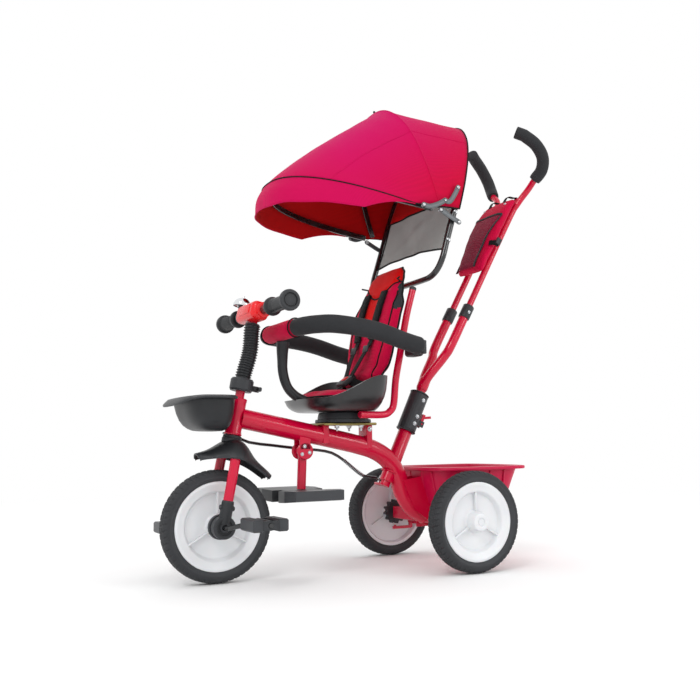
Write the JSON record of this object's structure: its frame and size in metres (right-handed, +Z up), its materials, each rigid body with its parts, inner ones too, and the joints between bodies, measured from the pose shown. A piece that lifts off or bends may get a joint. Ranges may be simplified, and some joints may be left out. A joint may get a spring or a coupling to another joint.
{
  "type": "push tricycle",
  "caption": "Child's tricycle with folding canopy, swivel bucket seat, guard ring, tubs, and a steering push handle with a bag.",
  "frame": {"origin": "on the ground under the middle of the whole tricycle's bounding box", "axes": "+Z up, the front wheel towards -Y, the rider's left towards +X"},
  "size_m": [0.44, 0.9423, 1.069],
  "materials": {
    "crimson_paint": "gloss",
    "black_paint": "satin",
    "black_plastic": "matte",
    "red_plastic": "gloss",
    "white_plastic": "satin",
    "tyre_foam": "matte",
    "grey_foam": "matte",
    "crimson_cloth": "woven",
    "grey_cloth": "net",
    "steel": "satin",
    "chrome": "mirror"
  },
  "bodies": {
    "frame": {"main_frame": "crimson_paint", "rear_axle": "steel", "swivel_base": "black_plastic", "coupling_sleeve": "black_plastic", "rear_tub": "red_plastic", "front_tub": "black_plastic"},
    "steering": {"fork": "crimson_paint", "fender": "black_plastic", "stem_cover": "black_plastic", "stem_collar": "black_plastic", "handlebar": "black_paint", "handlebar_cover": "red_plastic", "grip_left": "black_plastic", "grip_right": "black_plastic", "bell_clamp": "black_plastic", "bell_dome": "chrome"},
    "collar_knob": {"collar_knob": "black_plastic"},
    "bell_lever": {"bell_lever": "black_plastic"},
    "front_wheel": {"front_tyre": "tyre_foam", "front_rim": "white_plastic", "front_hub": "black_plastic", "crank": "black_paint"},
    "pedal_left": {"pedal_left": "black_plastic"},
    "pedal_right": {"pedal_right": "black_plastic"},
    "rear_wheel_left": {"rear_tyre_left": "tyre_foam", "rear_rim_left": "white_plastic", "brake_drum_left": "black_plastic"},
    "rear_wheel_right": {"rear_tyre_right": "tyre_foam", "rear_rim_right": "white_plastic", "brake_drum_right": "black_plastic"},
    "brake": {"brake_lever": "crimson_paint"},
    "coupling_lever": {"coupling_lever": "crimson_paint"},
    "footrest": {"footrest_tube": "crimson_paint", "footrest_plate": "black_plastic"},
    "seat": {"seat_frame": "crimson_paint", "seat_shell": "black_plastic", "seat_pad": "crimson_cloth", "backrest_pad": "crimson_cloth", "harness": "black_plastic", "canopy_hoop": "black_paint", "canopy_back": "crimson_cloth", "canopy_mesh": "grey_cloth", "canopy_cloth": "crimson_cloth", "guard_post": "black_plastic", "guard_cover": "crimson_cloth", "guard_bracket_left": "black_plastic", "guard_bracket_right": "black_plastic"},
    "guard_arm_left": {"guard_arm_left": "grey_foam"},
    "guard_arm_right": {"guard_arm_right": "grey_foam"},
    "canopy_front": {"canopy_bow_front": "black_paint", "canopy_visor": "crimson_cloth"},
    "canopy_middle": {"canopy_bow_middle": "black_paint"},
    "push_bar": {"push_bar": "crimson_paint"},
    "handle": {"handle_tubes": "crimson_paint", "horn_grip_left": "grey_foam", "horn_grip_right": "grey_foam", "handle_bag": "crimson_cloth"},
    "steering_rod": {"steering_rod": "black_paint"}
  },
  "joints": [
    {"name": "fork_steer", "type": "hinge", "parent": "frame", "child": "steering", "pos_m": [0, -0.31955, 0.30499], "axis": [0, 0.1822, 0.9833], "range_deg": [-20, 20]},
    {"name": "front_wheel_spin", "type": "hinge", "parent": "steering", "child": "front_wheel", "pos_m": [0, -0.35445, 0.1167], "axis": [1, 0, 0], "continuous": true},
    {"name": "pedal_left_spin", "type": "hinge", "parent": "front_wheel", "child": "pedal_left", "pos_m": [0.165, -0.31136, 0.12968], "axis": [1, 0, 0], "continuous": true},
    {"name": "pedal_right_spin", "type": "hinge", "parent": "front_wheel", "child": "pedal_right", "pos_m": [-0.165, -0.39754, 0.10372], "axis": [1, 0, 0], "continuous": true},
    {"name": "collar_knob_turn", "type": "hinge", "parent": "steering", "child": "collar_knob", "pos_m": [0, -0.27476, 0.40399], "axis": [0, 0.9833, -0.1822], "continuous": true},
    {"name": "bell_lever_flick", "type": "hinge", "parent": "steering", "child": "bell_lever", "pos_m": [-0.077, -0.27242, 0.59221], "axis": [0, 0.1822, 0.9833], "range_deg": [0, 30], "stiffness_Nm_per_rad": 0.02, "springref_deg": -17.19},
    {"name": "rear_left_spin", "type": "hinge", "parent": "frame", "child": "rear_wheel_left", "pos_m": [0.19, 0.16455, 0.11], "axis": [1, 0, 0], "continuous": true},
    {"name": "rear_right_spin", "type": "hinge", "parent": "frame", "child": "rear_wheel_right", "pos_m": [-0.19, 0.16455, 0.11], "axis": [1, 0, 0], "continuous": true},
    {"name": "brake_press", "type": "hinge", "parent": "frame", "child": "brake", "pos_m": [0, 0.20955, 0.083], "axis": [-1, 0, 0], "range_deg": [0, 4], "stiffness_Nm_per_rad": 4, "springref_deg": -20.05},
    {"name": "coupling_lever_open", "type": "hinge", "parent": "frame", "child": "coupling_lever", "pos_m": [0, 0.14606, 0.32561], "axis": [-1, 0, 0], "range_deg": [0, 70]},
    {"name": "footrest_fold", "type": "hinge", "parent": "frame", "child": "footrest", "pos_m": [0, -0.15845, 0.268], "axis": [1, 0, 0], "range_deg": [0, 30]},
    {"name": "seat_swivel", "type": "hinge", "parent": "frame", "child": "seat", "pos_m": [0, -0.05745, 0.33], "axis": [0, 0, 1], "continuous": true},
    {"name": "guard_open_left", "type": "hinge", "parent": "seat", "child": "guard_arm_left", "pos_m": [0.158, 0.06455, 0.4925], "axis": [0, 0, 1], "range_deg": [0, 75]},
    {"name": "guard_open_right", "type": "hinge", "parent": "seat", "child": "guard_arm_right", "pos_m": [-0.158, 0.06455, 0.4925], "axis": [0, 0, -1], "range_deg": [0, 75]},
    {"name": "canopy_fold", "type": "hinge", "parent": "seat", "child": "canopy_front", "pos_m": [0, 0.11955, 0.8], "axis": [-1, 0, 0], "range_deg": [0, 50], "deforming": ["canopy_cloth"]},
    {"name": "canopy_middle_fold", "type": "hinge", "parent": "seat", "child": "canopy_middle", "pos_m": [0, 0.11955, 0.8], "axis": [-1, 0, 0], "range_deg": [0, 16.67]},
    {"name": "push_bar_turn", "type": "hinge", "parent": "frame", "child": "push_bar", "pos_m": [0, 0.05255, 0.195], "axis": [0, 0.4258, 0.9048], "range_deg": [-20, 20]},
    {"name": "handle_slide", "type": "slide", "parent": "push_bar", "child": "handle", "axis": [0, 0.4879, 0.8729], "range_m": [-0.05, 0]},
    {"name": "steering_rod_swing", "type": "hinge", "parent": "steering", "child": "steering_rod", "pos_m": [-0.034, -0.31955, 0.30499], "axis": [0, 0.1822, 0.9833], "range_deg": [-20, 20]}
  ],
  "couplings": [
    {"joint": "push_bar_turn", "follows": "fork_steer", "ratio": 1},
    {"joint": "steering_rod_swing", "follows": "fork_steer", "ratio": -1},
    {"joint": "canopy_middle_fold", "follows": "canopy_fold", "ratio": 0.33333}
  ]
}
